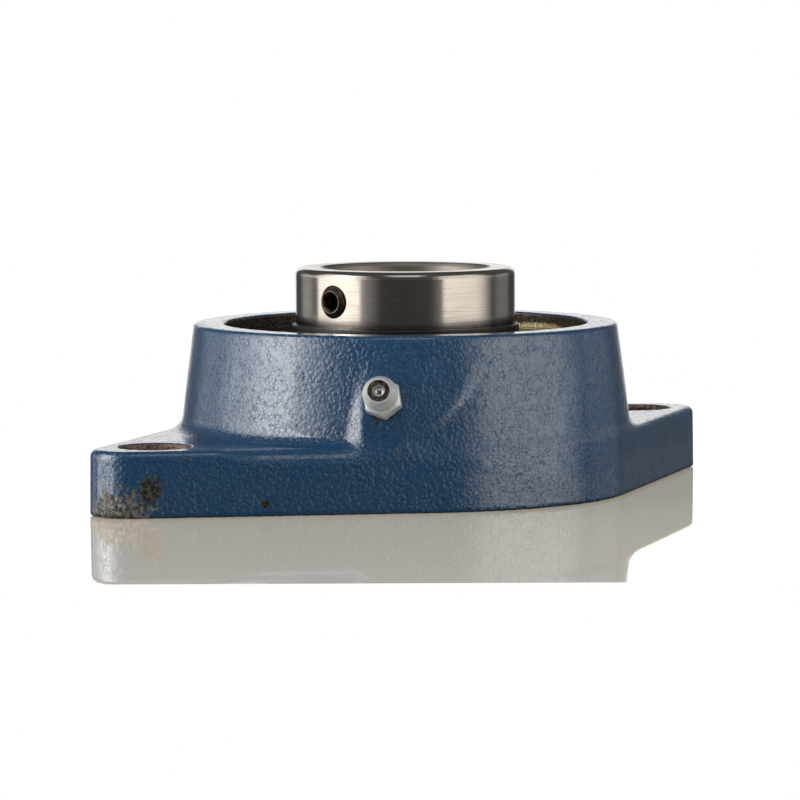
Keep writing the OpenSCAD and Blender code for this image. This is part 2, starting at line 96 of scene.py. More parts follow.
# Grease nipple: its axis, the point where that leaves the hub's wall, and the flat pad round it
NIPPLE_TURN = math.radians(223.8)
NIPPLE_TILT = math.radians(17)
NIPPLE_THREAD = 3.0
NIPPLE_PASSAGE = 1.5
NIPPLE_DEPTH = 6.0
HEX_RADIUS = 6.3 / math.sqrt(3)
HEX_TURN = math.radians(10)
HEX_HEIGHT = 2.8
HEX_BEVEL = 0.7
NECK_RADIUS = 2.3
HEAD_RADIUS = 3.1
HEAD_HEIGHT = 5.2
HEAD_TAPER = 2.2
HEAD_BAND = 0.6
FACE_RADIUS = 2.15
MOUTH_RADIUS = 0.95
MOUTH_DEPTH = 0.85
CHECK_BORE = 1.39
CHECK_FLOOR = -5.3
wall_slope = math.tan(HUB_TAPER)
axis_slope = math.tan(NIPPLE_TILT)
NIPPLE_REACH = ((BASE_RADIUS + wall_slope * (FLANGE_TOP - GROOVE_Z + SEAT_RADIUS * axis_slope))
                / (1 + wall_slope * axis_slope))
NIPPLE_OUT = np.array([math.cos(NIPPLE_TURN), math.sin(NIPPLE_TURN), 0])
NIPPLE_SIDE = np.array([-math.sin(NIPPLE_TURN), math.cos(NIPPLE_TURN), 0])
UP = np.array([0, 0, 1])
NIPPLE_AXIS = math.cos(NIPPLE_TILT) * NIPPLE_OUT + math.sin(NIPPLE_TILT) * UP
NIPPLE_DOWN = math.sin(NIPPLE_TILT) * NIPPLE_OUT - math.cos(NIPPLE_TILT) * UP
NIPPLE_FOOT = NIPPLE_REACH * NIPPLE_OUT + (GROOVE_Z + (NIPPLE_REACH - SEAT_RADIUS) * axis_slope) * UP
PAD_RISE = HEX_RADIUS * math.tan(NIPPLE_TILT - HUB_TAPER) + 0.03
PAD_HALF_WIDTH = HEX_RADIUS + 0.1
PAD_FLANKS = [(-1, math.radians(44), 0.8), (1, math.radians(15), 0.8)]
PAD_DEPTH = 2.6
PAD_FILLET = 0.8
PAD_EDGE = 1.7
PAD_EDGE_REACH = 12, 4

# Check ball and the spring behind it
check_low, check_high = (np.array(corner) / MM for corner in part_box("nipple_check_ball"))
CHECK_RADIUS = (check_high[2] - check_low[2]) / 2
FIT_GAP = 0.03
SPRING_WIRE = 0.35
SPRING_TURNS = 7
SPRING_RADIUS = CHECK_RADIUS - SPRING_WIRE / 2
SPRING_FOOT = CHECK_FLOOR + FIT_GAP
SPRING_TOP = ((check_low + check_high) / 2 - NIPPLE_FOOT) @ NIPPLE_AXIS - CHECK_RADIUS - FIT_GAP

# Set screws
SCREW_Z = 35.6
SCREW_TURNS = {"a": math.radians(189), "b": math.radians(69)}
SCREW_RADIUS = 2.97
SCREW_LENGTH = 5.7
SCREW_TIP = 15.25
SCREW_BEVEL = 0.9
TIP_BEVEL = 1.2
THREAD_PITCH = 1.0
THREAD_DEPTH = 0.55
SOCKET_RADIUS = 3.0 / math.sqrt(3)
SOCKET_DEPTH = 3.0

# Flingers: pressed sheet round the inner ring
ring_high = np.array(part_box("inner_ring")[1]) / MM
BORE_RADIUS = 15.0
COLLAR_LIP = 0.4
FLINGER_SHEET = 0.68
FLINGER_INNER = ring_high[0] + FIT_GAP

# Marks on the paint: places, and reach across and up
WORN_SPOTS = [((-69.6, -3.9, 0.0), 9.0, 6.5)]
# The first two dark spots are dirt; the last three, under the nipple's hexagon, are dirt with painted shade
DIRT_AND_SHADE_SPOTS = [((-65.2, -7.6, 4.9), 3.3, 3.5), ((-48.1, -18.4, 2.2), 1.2, 1.1),
              ((-31.4, -28.3, 16.6), 1.4, 1.7), ((-29.8, -29.9, 16.8), 1.9, 0.8),
              ((-28.0, -31.3, 20.1), 0.7, 0.5)]
# Oil film on the opening's floor, painted pale gold as its highlight
OIL_AND_HIGHLIGHT_SPOTS = [((33.2, 0.0, 28.3), 9.5, 1.1), ((-33.2, 0.0, 28.3), 9.5, 1.1)]
SCUFFS = [((-50.2, -17.2, 9.6), 1.8, 0.3), ((-54.4, -14.5, 9.4), 1.6, 0.25), ((-58.0, -12.1, 9.7), 1.5, 0.3),
          ((-60.2, -10.7, 9.5), 1.3, 0.25)]

# Camera: where it stands and what it looks at, as the photograph has them
IMAGE_SIZE = 800
CAMERA_TURN = math.radians(40.60)
CAMERA_RISE = math.radians(4.63)
CAMERA_ROLL = math.radians(-0.24)
CAMERA_DISTANCE = 859.08
CAMERA_TARGET = Vector((0, 0, 20)) * MM
FOCAL_PIXELS = 4669.2
TARGET_PIXEL = (405.77, 381.07)
SENSOR = 36.0

# Studio: brightness round the part by angle from the camera, the fill light and the sheet that it stands on
SURROUNDINGS = [(-180, 1.0), (-168, 1.0), (-160, 0.08), (-144, 0.12), (-132, 0.55), (-120, 0.55),
                (-110, 0.15), (-46, 0.45), (-34, 0.25), (-26, 0.08), (0, 0.07), (26, 0.08), (40, 0.3),
                (105, 0.12), (114, 0.3), (132, 0.3), (142, 0.1), (160, 0.08), (168, 1.0), (180, 1.0)]
BELOW_EYE_LEVEL = 0.65
# Lamp panels: turn from the camera and half width in degrees, foot and top in metres, radiance, tint,
# the share of the width over which each side fades, and lift in degrees
PANEL_DISTANCE = 0.9
PANELS = [("left_softbox", -78, 40, 0.04, 1.1, 1.3, (1.0, 0.99, 0.98), (0.3, 0.3)),
          ("left_core", -75, 20, 0.04, 0.9, 1.9, (1.0, 0.99, 0.98), (0.55, 0.2)),
          ("left_foot_lamp", -75.5, 29.5, -0.35, 0.04, 1.55, (1.0, 0.98, 0.96), (0.06, 0.08)),
          ("right_softbox", 68, 40, 0.04, 1.0, 0.87, (1.0, 0.96, 0.9), (0.3, 0.4)),
          ("right_foot_lamp", 70.5, 33.5, -0.35, 0.04, 1.05, (1.0, 0.97, 0.94), (0.09, 0.45)),
          ("top_softbox", 0, 18, -0.22, 0.22, 0.7, (1.0, 1.0, 1.0), (0.3, 0.3), 60)]
BACKDROP_TOP = 0.2
CEILING = (0.08, 0.08, 0.08, 1.0)
FILL = (0.42, 0.42, 0.42, 1.0)
FLOOR_COLOUR = (0.8, 0.77, 0.71, 1.0)
FLOOR_GLOW = 0.52
FLOOR_WARMTH = (1.0, 0.87, 0.66, 1.0)
FLOOR_FRONT_PIXEL = 583
FLOOR_HALF_WIDTH = 84
FLOOR_DEPTH = 340
FLOOR_DROP = 0.05


def smooth(low, high, value):
    """0 below low, 1 above high and an even curve between."""
    share = np.clip((value - low) / (high - low), 0, 1)
    return share * share * (3 - 2 * share)


def lumps(points, size, seed):
    """Smooth noise from -1 to 1, with lumps of about the given size."""
    table = np.random.default_rng(seed).uniform(-1, 1, (32, 32, 32))
    base = np.floor(points / size).astype(int)
    part = smooth(0, 1, points / size - base)
    total = 0
    for corner in CORNERS:
        weight = np.prod(np.where(corner, part, 1 - part), -1)
        total = total + weight * table[tuple(np.moveaxis((base + corner) % 32, -1, 0))]
    return total


def round_join(a, b, radius):
    """Two solids as one, with a hollow fillet."""
    bend = np.hypot(np.maximum(radius - a, 0), np.maximum(radius - b, 0))
    return np.maximum(radius, np.minimum(a, b)) - bend


def round_trim(a, b, radius):
    """What two solids share, with a rounded edge."""
    bend = np.hypot(np.maximum(radius + a, 0), np.maximum(radius + b, 0))
    return np.minimum(-radius, np.maximum(a, b)) + bend


def outline(x, y):
    """Distance from the flange's outline: a middle circle, two end circles and the lines that touch them."""
    along, across = np.abs(x), np.abs(y)
    fall = (MIDDLE_RADIUS - END_RADIUS) / END_X
    side = math.sqrt(1 - fall * fall)
    place = side * along - fall * across
    middle = np.hypot(along, across) - MIDDLE_RADIUS
    end = np.hypot(along - END_X, across) - END_RADIUS
    straight = side * across + fall * along - MIDDLE_RADIUS
    return np.where(place < 0, middle, np.where(place > side * END_X, end, straight))


def nipple_pad(points):
    """Distance from the sloping pad that the nipple stands on, with a slanting flank on each side."""
    rise = (points - NIPPLE_FOOT) @ NIPPLE_AXIS
    aside = (points - NIPPLE_FOOT) @ NIPPLE_SIDE
    pad = np.maximum(rise - PAD_RISE, -PAD_DEPTH - rise)
    for way, angle, edge in PAD_FLANKS:
        flank = (way * aside - PAD_HALF_WIDTH) * math.sin(angle) + (rise - PAD_RISE) * math.cos(angle)
        pad = round_trim(pad, flank, edge)
    return pad


def casting(points):
    """Distance from the raw casting's skin, without its holes."""
    x, y, z = np.moveaxis(points, -1, 0)
    radius = np.hypot(x, y) + 1e-9
    ledge = -outline(x / radius * BASE_RADIUS, y / radius * BASE_RADIUS)
    wall = (outline(x, y) + z * math.tan(FLANGE_DRAFT)) * math.cos(FLANGE_DRAFT)
    hub = (radius - BASE_RADIUS + (z - FLANGE_TOP) * math.tan(HUB_TAPER)) * math.cos(HUB_TAPER)
    fillet = NARROW_FILLET + (HUB_FILLET - NARROW_FILLET) * smooth(0, 5, ledge)
    by_nipple = smooth(*PAD_EDGE_REACH, np.linalg.norm(points - NIPPLE_FOOT, axis=-1) - NIPPLE_FOOT[2])
    edge = FLANGE_EDGE + PAD_EDGE * by_nipple
    skin = round_join(hub, z - FLANGE_TOP, fillet)
    skin = round_join(skin, nipple_pad(points), PAD_FILLET)
    skin = round_trim(skin, z - HUB_HEIGHT, RIM_EDGE)
    skin = round_trim(skin, wall, edge)
    return round_trim(skin, -z, FOOT_EDGE)


def waves(points):
    """How far the sand mould's uneven face lifts the casting's skin."""
    return 0.03 * lumps(points, 7.0, 1) + 0.02 * lumps(points, 2.6, 2)


def hollows(points):
    """Distance from each machined cut and cored hole, with the rounding of its edges."""
    x, y, z = np.moveaxis(points, -1, 0)
    radius = np.hypot(x, y)
    yield np.maximum(radius - OPENING_RADIUS, OPENING_FLOOR - z), 0.6
    yield np.sqrt(radius ** 2 + (z - SEAT_Z) ** 2) - SEAT_RADIUS, TOOLED_EDGE
    yield np.maximum(radius - RECESS_RADIUS, z - RECESS_DEPTH), 0.4
    yield np.maximum(np.maximum(np.abs(y) - SLOT_HALF_WIDTH, radius - SEAT_RADIUS), z - SEAT_Z), TOOLED_EDGE
    yield np.maximum(radius - GROOVE_RADIUS, np.abs(z - GROOVE_Z) - GROOVE_HALF_WIDTH), TOOLED_EDGE
    pin_slot = [np.abs(x) - PIN_SLOT_HALF_WIDTH, -y, y - PIN_SLOT_RADIUS, z - PIN_SLOT_TOP]
    yield np.maximum.reduce(pin_slot), TOOLED_EDGE
    rise = (points - NIPPLE_FOOT) @ NIPPLE_AXIS
    aside = np.linalg.norm(points - NIPPLE_FOOT - rise[..., None] * NIPPLE_AXIS, axis=-1)
    yield np.maximum(aside - NIPPLE_THREAD, -NIPPLE_DEPTH - 1 - rise), 0.2
    yield np.maximum(aside - NIPPLE_PASSAGE, SEAT_RADIUS - NIPPLE_REACH - NIPPLE_DEPTH - rise), 0.1
    yield np.hypot(np.abs(x) - BOLT_X, y) - BOLT_RADIUS, 0.7


def housing_field(points, uneven=True):
    """Distance from the finished housing's surface."""
    skin = casting(points)
    if uneven:
        skin = skin + waves(points) * smooth(0.3, 2.0, points[..., 2])
    for hollow, edge in hollows(points):
        skin = round_trim(skin, -hollow, edge)
    return skin


def gradient(field, points, reach=0.02):
    """Direction and rate in which field grows."""
    return np.stack([(field(points + step) - field(points - step)) / (2 * reach)
                     for step in np.eye(3) * reach], -1)


def onto(field, points, reach):
    """Points moved along the field's slope to its zero surface, by no more than reach."""
    slope = gradient(field, points)
    move = field(points)[:, None] * slope / (slope ** 2).sum(-1, keepdims=True)
    length = np.linalg.norm(move, axis=-1, keepdims=True)
    return points - move * np.minimum(1, reach / np.maximum(length, 1e-9))


def surface_net(rough, field, low, high, step):
    """Points and quads that wrap the zero surface of field, found from the plainer field rough."""
    axes = [np.arange(a - 2 * step, b + 3 * step, step) for a, b in zip(low, high)]
    inside = rough(np.stack(np.meshgrid(*axes, indexing="ij"), -1)) < 0
    shape = [n - 1 for n in inside.shape]
    blocks = [tuple(slice(c, c + n) for c, n in zip(corner, shape)) for corner in CORNERS]
    count = sum(inside[block].astype(int) for block in blocks)
    cells = np.argwhere((count > 0) & (count < len(CORNERS)))
    index = np.full(shape, -1)
    index[tuple(cells.T)] = np.arange(len(cells))
    quads = []
    for axis in range(3):
        unit = np.eye(3, dtype=int)
        along, u, v = unit[axis], unit[(axis + 1) % 3], unit[(axis + 2) % 3]
        first = np.delete(inside, -1, axis)
        change = np.argwhere(first != np.delete(inside, 0, axis))
        ring = [index[tuple((change - shift).T)] for shift in (0 * along, u, u + v, v)]
        leaving = first[tuple(change.T)]
        quads.append(np.where(leaving[:, None], np.stack(ring, -1), np.stack(ring[::-1], -1)))
    quads = np.concatenate(quads)
    points = np.array([a[0] for a in axes]) + (cells + 0.5) * step
    pairs = np.concatenate([quads[:, [i, (i + 1) % 4]] for i in range(4)])
    shares = np.bincount(pairs[:, 0], minlength=len(points))[:, None]
    for _ in range(4):
        for _ in range(2):
            points = onto(rough, points, step)
        middle = np.zeros_like(points)
        np.add.at(middle, pairs[:, 0], points[pairs[:, 1]])
        points = points + 0.5 * (middle / shares - points)
    for _ in range(5):
        points = onto(field, points, step)
    return points, quads


def new_object(name, points, faces, material, sharp=None):
    """A smooth mesh object from points in millimetres, with hard edges where it bends by more than sharp."""
    mesh = bpy.data.meshes.new(name)
    mesh.from_pydata((np.asarray(points) * MM).tolist(), [], [list(map(int, face)) for face in faces])
    mesh.materials.append(material)
    mesh.shade_smooth()
    if sharp:
        mesh.set_sharp_from_angle(angle=math.radians(sharp))
    made = bpy.data.objects.new(name, mesh)
    bpy.context.scene.collection.objects.link(made)
    return made


def rounded(corners, steps=6):
    """A closed outline through corners, each a radius, a height and a rounding."""
    path = []
    for i, (radius, height, bend) in enumerate(corners):
        here = np.array([radius, height])
        ends = [np.array(corners[j % len(corners)][:2]) - here for j in (i - 1, i + 1)]
        first, last = (here + end / np.linalg.norm(end) * bend for end in ends)
        for t in np.linspace(0, 1, steps):
            path.append((1 - t) ** 2 * first + 2 * t * (1 - t) * here + t * t * last)
    return path


def turned(rows, turns=96, start=0.0, closed=False):
    """Points and faces of rows of radius and height swept round an axis, closed to a point or a loop."""
    angle = start + np.arange(turns) * 2 * math.pi / turns
    points, rings, faces = [], [], []
    for radius, height in rows:
        radius, height = np.broadcast_to(radius, turns), np.broadcast_to(height, turns)
        pole = not radius.any()
        rings.append(np.full(turns, len(points)) if pole else len(points) + np.arange(turns))
        if pole:
            points.append((0, 0, height[0]))
        else:
            points += list(zip(radius * np.cos(angle), radius * np.sin(angle), height))
    for low, high in zip(rings, rings[1:] + rings[:1] if closed else rings[1:]):
        for i in range(turns):
            loop = [low[i - 1], low[i], high[i], high[i - 1]]
            faces.append([p for n, p in enumerate(loop) if p != loop[n - 1]])
    return np.array(points), faces


def stood(points, origin, across, side, axis):
    """Points of a turned piece, stood on an axis of its own."""
    return np.asarray(origin) + points @ np.array([across, side, axis])


def hexagon(radius, turns=96):
    """Distance to a hexagon's edge for each step of a full turn, from a corner on."""
    angle = np.arange(turns) * 2 * math.pi / turns
    return radius * math.cos(math.pi / 6) / np.cos(angle % (math.pi / 3) - math.pi / 6)


def place(made, body, slot, *stands_for):
    """The piece rides on its body in place of the solids that it stands for."""
    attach(made, body)
    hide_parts(*stands_for)
    return made


class Shader:
    """A material under construction. Its coordinates are millimetres in the object's frame."""

    def __init__(self, name, **surface):
        self.material = bpy.data.materials.new(name)
        self.material.use_nodes = True
        self.tree = self.material.node_tree
        self.surface = self.tree.nodes["Principled BSDF"]
        for socket, value in surface.items():
            self.put(self.surface, socket.replace("_", " "), value)
        place = self.node("ShaderNodeTexCoord", output="Object")
        self.place = self.node("ShaderNodeVectorMath", {"operation": "SCALE"}, {0: place, "Scale": 1 / MM})

    def put(self, node, socket, value):
        if isinstance(value, bpy.types.NodeSocket):
            self.tree.links.new(value, node.inputs[socket])
        else:
            node.inputs[socket].default_value = value

    def node(self, kind, settings=None, inputs=None, output=0):
        made = self.tree.nodes.new(kind)
        for name, value in (settings or {}).items():
            setattr(made, name, value)
        for socket, value in (inputs or {}).items():
            self.put(made, socket, value)
        return made.outputs[output]

    def math(self, operation, *values):
        return self.node("ShaderNodeMath", {"operation": operation}, dict(enumerate(values)))

    def stretched(self, scale):
        return self.node("ShaderNodeVectorMath", {"operation": "MULTIPLY"}, {0: self.place, 1: scale})

    def noise(self, scale, detail=2.0, place=None, roughness=0.5, distortion=0.0):
        return self.node("ShaderNodeTexNoise", None, {
            "Vector": place or self.place, "Scale": scale, "Detail": detail, "Roughness": roughness,
            "Distortion": distortion})

    def span(self, value, low, high, to_low=0.0, to_high=1.0):
        return self.node("ShaderNodeMapRange", None, {0: value, 1: low, 2: high, 3: to_low, 4: to_high})

    def mix(self, share, first, second):
        return self.node("ShaderNodeMix", {"data_type": "RGBA"}, {0: share, 6: first, 7: second}, output=2)

    def part(self, axis):
        return self.node("ShaderNodeSeparateXYZ", None, {0: self.place}, output=axis)

    def cells(self, scale, warp):
        """Distance from scattered points and from the creases between them, on a grid bent by up to warp."""
        inputs = {"Vector": self.place, "Scale": scale, "Detail": 2.0}
        noise = self.node("ShaderNodeTexNoise", None, inputs, output="Color")
        shifts = {0: noise, 1: (warp,) * 3, 2: self.place}
        bent = self.node("ShaderNodeVectorMath", {"operation": "MULTIPLY_ADD"}, shifts)
        inputs = {"Vector": bent, "Scale": scale}
        middle = self.node("ShaderNodeTexVoronoi", {"feature": "F1"}, inputs, output="Distance")
        crease = self.node("ShaderNodeTexVoronoi", {"feature": "DISTANCE_TO_EDGE"}, inputs, output="Distance")
        return middle, crease

    def scratches(self):
        """Sparse thin strokes, most of them upright."""
        strokes = self.noise(0.8, 1.0, self.stretched((1.3, 1.3, 0.4)))
        middle = self.math("ABSOLUTE", self.math("SUBTRACT", strokes, 0.5))
        sparse = self.span(self.noise(0.33, 3.0), 0.56, 0.64)
        return self.math("MULTIPLY", self.span(middle, 0.012, 0.0, 0.0, 0.5), sparse)

    def radius(self):
        flat = self.node("ShaderNodeVectorMath", {"operation": "MULTIPLY"}, {0: self.place, 1: (1, 1, 0)})
        return self.node("ShaderNodeVectorMath", {"operation": "LENGTH"}, {0: flat}, output="Value")

    def attribute(self, name):
        return self.node("ShaderNodeAttribute", {"attribute_name": name}, output="Fac")

    def bump(self, height, depth, before=None):
        inputs = {"Strength": 1.0, "Distance": depth * MM, "Height": height}
        if before:
            inputs["Normal"] = before
        return self.node("ShaderNodeBump", None, inputs)

    def finish(self, **surface):
        for socket, value in surface.items():
            self.put(self.surface, socket.replace("_", " "), value)
        return self.material


def rgb(red, green, blue):
    """A colour as the eye names it, from 0 to 255, for a shader."""
    levels = [c / 255 for c in (red, green, blue)]
    return tuple(c / 12.92 if c <= 0.04045 else ((c + 0.055) / 1.055) ** 2.4 for c in levels) + (1.0,)


def enamel(s, grain, broad, ragged):
    """Colour of the blue paint, with its scratches and scuffs."""
    blue = s.mix(s.span(broad, 0.3, 0.7), rgb(24, 74, 114), rgb(28, 82, 124))
    blue = s.mix(s.span(grain, 0.35, 0.7), rgb(20, 64, 100), blue)
    blue = s.mix(s.scratches(), blue, rgb(120, 146, 172))
    scuff = s.span(s.math("ADD", s.attribute("scuff"), ragged), 0.3, 0.9, 0.0, 0.4)
    return s.mix(scuff, blue, rgb(112, 62, 56))


def bare_iron(s, ragged, hole):
    """Colour of the machined iron: tooled, rusty, oily by the slots with a painted highlight on the oil,
    crusted in the bolt holes.
    """
    tooled = s.span(s.noise(1.0, 2.0, s.stretched((2.4, 2.4, 0.12))), 0.3, 0.7)
    iron = s.mix(tooled, rgb(62, 57, 52), rgb(98, 91, 82))
    rust = s.mix(s.span(s.noise(0.12, 4.0), 0.4, 0.65, 0.0, 0.7), iron, rgb(84, 66, 46))
    # Painted highlight: the oil film on the opening's floor is painted pale gold, brighter than the iron
    # round it
    oil_highlight_share = s.span(s.math("ADD", s.attribute("oil_and_highlight"), s.math("MULTIPLY", ragged, 0.4)), 0.05, 0.4)
    rust = s.mix(oil_highlight_share, rust, s.mix(tooled, rgb(222, 204, 158), rgb(242, 228, 188)))
    crust = s.mix(s.span(s.noise(1.2, 4.0), 0.38, 0.62), rgb(74, 58, 48), rgb(146, 120, 100))
    return s.mix(hole, rust, crust)


def cast_grain(s, grain):
    """Height of the casting's domed grain, and the pits between the domes."""
    middle, crease = s.cells(1.4, 0.8)
    dome = s.math("SQRT", s.math("MULTIPLY_ADD", middle, middle, 0.04))
    dome = s.math("MULTIPLY", dome, s.span(s.noise(0.2, 2.0), 0.3, 0.7, 0.7, 1.1))
    height = s.math("SUBTRACT", s.math("MULTIPLY", grain, 0.4), dome)
    pits = s.math("MULTIPLY", s.span(crease, 0.02, 0.13, 1.0, 0.0), s.span(s.noise(0.7, 2.0), 0.38, 0.56))
    return height, pits


def paint():
    """Blue enamel over sand-cast iron, bare and oily where it was machined with a painted highlight on the
    oil, worn and dirty in places, with painted shade under the nipple's hexagon.
    """
    s = Shader("casting_paint", IOR=1.5, Specular_IOR_Level=0.8, Coat_IOR=1.9, Coat_Roughness=0.08)
    grain = s.noise(1.6, 3.0, roughness=0.6)
    broad = s.noise(0.06, 3.0)
    ragged = s.span(grain, 0.2, 0.8, -0.5, 0.5)
    hole = s.attribute("hole")
    fray = s.math("MULTIPLY", ragged, s.span(hole, 0.0, 1.0, 0.25, 0.6))
    edge = s.math("ADD", s.attribute("depth"), fray)
    bare = s.span(s.math("MULTIPLY_ADD", hole, 0.22, edge), 0.3, 0.45)
    colour = s.mix(bare, enamel(s, grain, broad, ragged), bare_iron(s, ragged, hole))
    patchy = s.span(s.noise(0.7, 2.0, roughness=0.65), 0.3, 0.7, -0.35, 0.35)
    worn = s.span(s.math("ADD", s.attribute("worn"), patchy), 0.2, 0.4)
    primer = s.mix(s.span(s.noise(1.1, 3.0), 0.4, 0.6), rgb(58, 58, 56), rgb(128, 124, 116))
    colour = s.mix(worn, colour, primer)
    # Near-black dirt, with painted shade under the nipple's hexagon
    dirt_and_shade = s.span(s.math("ADD", s.attribute("dirt_and_shade"), s.math("MULTIPLY", patchy, 0.6)), 0.2, 0.45)
    colour = s.mix(dirt_and_shade, colour, s.mix(s.span(grain, 0.4, 0.6), rgb(14, 16, 16), rgb(76, 76, 60)))
    dull = s.math("MAXIMUM", worn, s.math("MULTIPLY", dirt_and_shade, 0.7))
    height, pits = cast_grain(s, grain)
    matt = s.math("MULTIPLY", s.math("MAXIMUM", dull, bare), 0.2)
    rough = s.math("ADD", s.span(broad, 0.3, 0.7, 0.12, 0.18), matt)
    whole = s.math("SUBTRACT", 1.0, s.math("MAXIMUM", dull, pits))
    coat = s.math("MULTIPLY", s.math("SUBTRACT", 1.0, bare), whole)
    metal = s.math("MULTIPLY", bare, s.span(hole, 0.0, 1.0, 0.8, 0.1))
    return s.finish(Base_Color=colour, Roughness=rough, Metallic=metal, Coat_Weight=coat,
                    Normal=s.bump(height, 0.2))


def ground_steel(name, light, dark, rough):
    """Ring steel with fine lines round the shaft's axis."""
    s = Shader(name, Metallic=1.0, Anisotropic=0.4, Anisotropic_Rotation=0.25)
    lines = s.noise(1.0, 3.0, s.stretched((0.1, 0.1, 6.0)))
    stain = s.noise(0.09, 4.0)
    colour = s.mix(s.span(stain, 0.35, 0.7), light, dark)
    colour = s.mix(s.span(lines, 0.52, 0.75, 0.0, 0.45), colour, rgb(120, 112, 102))
    shine = s.span(lines, 0.3, 0.7, rough * 0.7, rough * 1.5)
    shine = s.math("ADD", shine, s.span(stain, 0.3, 0.7, 0.0, 0.04))
    shine = s.math("ADD", shine, s.span(s.radius(), BORE_RADIUS + 0.9, BORE_RADIUS + 0.2, 0.0, 0.35))
    tangent = s.node("ShaderNodeTangent", {"direction_type": "RADIAL", "axis": "Z"})
    return s.finish(Base_Color=colour, Roughness=shine, Normal=s.bump(lines, 0.002), Tangent=tangent)


def plain_metal(name, light, dark, rough, metallic=1.0, grain=0.8, depth=0.006):
    """Metal with a slightly clouded finish."""
    s = Shader(name, Metallic=metallic)
    cloud = s.noise(grain, 4.0)
    fine = s.noise(grain * 6, 2.0)
    colour = s.mix(s.span(cloud, 0.35, 0.68), dark, light)
    shine = s.span(cloud, 0.3, 0.7, rough * 1.25, rough * 0.85)
    return s.finish(Base_Color=colour, Roughness=shine, Normal=s.bump(fine, depth))


def plated():
    """Bright zinc plating, browned where a grease gun has rubbed the face of the nipple."""
    s = Shader("plated_steel", Metallic=0.55)
    cloud = s.noise(0.8, 4.0)
    mottle = s.noise(2.2, 3.0)
    bright = s.mix(s.span(cloud, 0.35, 0.68), rgb(230, 232, 228), rgb(246, 247, 244))
    brown = s.mix(s.span(mottle, 0.4, 0.62), rgb(34, 34, 33), rgb(112, 98, 78))
    colour = s.mix(s.attribute("patina"), bright, brown)
    return s.finish(Base_Color=colour, Roughness=s.span(cloud, 0.3, 0.7, 0.4, 0.28),
                    Normal=s.bump(s.noise(5.0, 2.0), 0.006))


def rubber(name, tone, rough):
    """Black coating or rubber with a faint grain."""
    s = Shader(name, Specular_IOR_Level=0.7)
    cloud = s.noise(0.7, 4.0)
    colour = s.mix(s.span(cloud, 0.35, 0.7), tone, tuple(c * 1.8 for c in tone[:3]) + (1.0,))
    return s.finish(Base_Color=colour, Roughness=s.span(cloud, 0.3, 0.7, rough, rough * 1.4),
                    Normal=s.bump(s.noise(4.0, 2.0), 0.01))


PAINT = paint()
GROUND_STEEL = ground_steel("ground_steel", rgb(212, 204, 194), rgb(198, 188, 176), 0.12)
OILED_STEEL = ground_steel("oiled_steel", rgb(206, 180, 116), rgb(170, 140, 82), 0.2)
BALL_STEEL = plain_metal("ball_steel", rgb(224, 225, 226), rgb(206, 207, 209), 0.1, depth=0.001)
PLATED_STEEL = plated()
YELLOW_STEEL = plain_metal("yellow_steel", rgb(224, 196, 120), rgb(186, 152, 84), 0.28)
CAGE_STEEL = plain_metal("cage_steel", rgb(186, 188, 188), rgb(160, 161, 160), 0.32)
BLACK_OXIDE = plain_metal("black_oxide", rgb(126, 115, 102), rgb(74, 66, 58), 0.36)
FLINGER_BLACK = rubber("flinger_black", rgb(14, 14, 15), 0.3)
SEAL_RUBBER = rubber("seal_rubber", rgb(16, 16, 17), 0.5)
FINISHES = {"housing_paint": PAINT, "ground_steel": GROUND_STEEL, "ball_steel": BALL_STEEL,
            "plated_steel": PLATED_STEEL, "yellow_steel": YELLOW_STEEL, "cage_steel": CAGE_STEEL,
            "black_oxide": BLACK_OXIDE, "flinger_black": FLINGER_BLACK, "seal_rubber": SEAL_RUBBER}

for name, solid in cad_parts.items():
    for slot in solid.material_slots:
        slot.material = OILED_STEEL if name == "outer_ring" else FINISHES[slot.material.name]


def spots(points, marks):
    """How deep each point lies in the nearest mark: 1 at its middle and 0 at its edge."""
    return np.max([1 - np.linalg.norm((points - place) / (across, across, up), axis=-1)
                   for place, across, up in marks], axis=0)


def make_housing(step):
    """The casting with its machined hollow, in place of the plain solid."""
    def even_field(points):
        return housing_field(points, uneven=False)

    points, quads = surface_net(even_field, housing_field, housing_low, housing_high, step)
    points = np.clip(points, housing_low, housing_high)
    made = new_object("housing_casting", points, quads, PAINT)
    slope = gradient(housing_field, points)
    slope /= np.linalg.norm(slope, axis=-1, keepdims=True)
    under = (slope[:, 2] < -0.97) & (points[:, 2] < 0.1)
    hole = np.hypot(np.abs(points[:, 0]) - BOLT_X, points[:, 1]) < BOLT_RADIUS + 0.7
    values = {"hole": hole.astype(float), "depth": np.where(under, 1.0, -casting(points)),
              "worn": spots(points, WORN_SPOTS), "dirt_and_shade": spots(points, DIRT_AND_SHADE_SPOTS),
              "scuff": spots(points, SCUFFS), "oil_and_highlight": spots(points, OIL_AND_HIGHLIGHT_SPOTS)}
    for name, value in values.items():
        made.data.attributes.new(name, "FLOAT", "POINT").data.foreach_set("value", value.astype(np.float32))
    made.data.normals_split_custom_set_from_vertices(slope.tolist())
    return place(made, "housing", "housing_paint", "housing")


